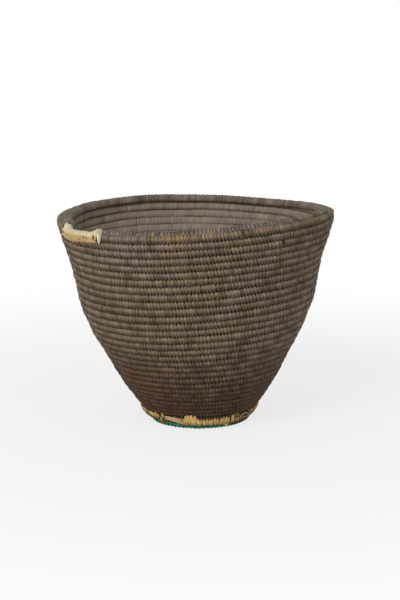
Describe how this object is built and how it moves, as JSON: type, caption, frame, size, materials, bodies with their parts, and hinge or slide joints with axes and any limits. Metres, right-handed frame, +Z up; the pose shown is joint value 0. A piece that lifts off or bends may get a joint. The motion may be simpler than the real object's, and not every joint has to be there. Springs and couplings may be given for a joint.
{
  "type": "coiled basket",
  "caption": "Deep round coiled basket of wrapped grass that widens from a small flat foot to an open, slightly wavy rim, with a pale binding mending the rim.",
  "frame": {"origin": "middle of the basket's box, on the plane that its flat foot rests on", "axes": "+Z up through the open mouth; -Y is the front, with the rim's mend at its left; +X is the front's right-hand side and the widest way across the slightly oval rim"},
  "size_m": [0.3323, 0.3188, 0.2659],
  "materials": {
    "dark_fibre": "dark brown wrapped fibre, matt",
    "worn_fibre": "brown wrapped fibre, greyed and worn, matt",
    "rim_fibre": "grey-brown wrapped fibre, rubbed smooth by handling",
    "straw": "undyed straw, slightly glossy",
    "green_fibre": "green dyed wrapped fibre, faded",
    "pale_binding": "pale golden strip, folded over the rim, dry and fine-ribbed",
    "cream_strap": "cream strip, tied, slightly glossy",
    "gold_fibre": "golden dyed fibre end"
  },
  "bodies": {
    "root": {"base_centre_knot": "straw", "base_coil": "green_fibre", "straw_foot_coil": "straw", "wall_coil_lower": "dark_fibre", "wall_coil_upper": "worn_fibre", "rim_coil": "rim_fibre", "rim_repair_binding": "pale_binding", "rim_repair_knot": "cream_strap", "rim_repair_tie": "cream_strap", "foot_stitch_01": "straw", "foot_stitch_02": "straw", "foot_stitch_03": "straw", "foot_stitch_04": "straw", "foot_stitch_05": "straw", "foot_stitch_06": "straw", "foot_stitch_07": "straw", "foot_stitch_08": "straw", "foot_stitch_09": "straw", "foot_stitch_10": "straw", "foot_loose_strand": "pale_binding", "foot_loose_loop": "pale_binding", "foot_knot": "straw", "rim_tag_front": "gold_fibre", "rim_tag_back": "gold_fibre"}
  },
  "joints": []
}
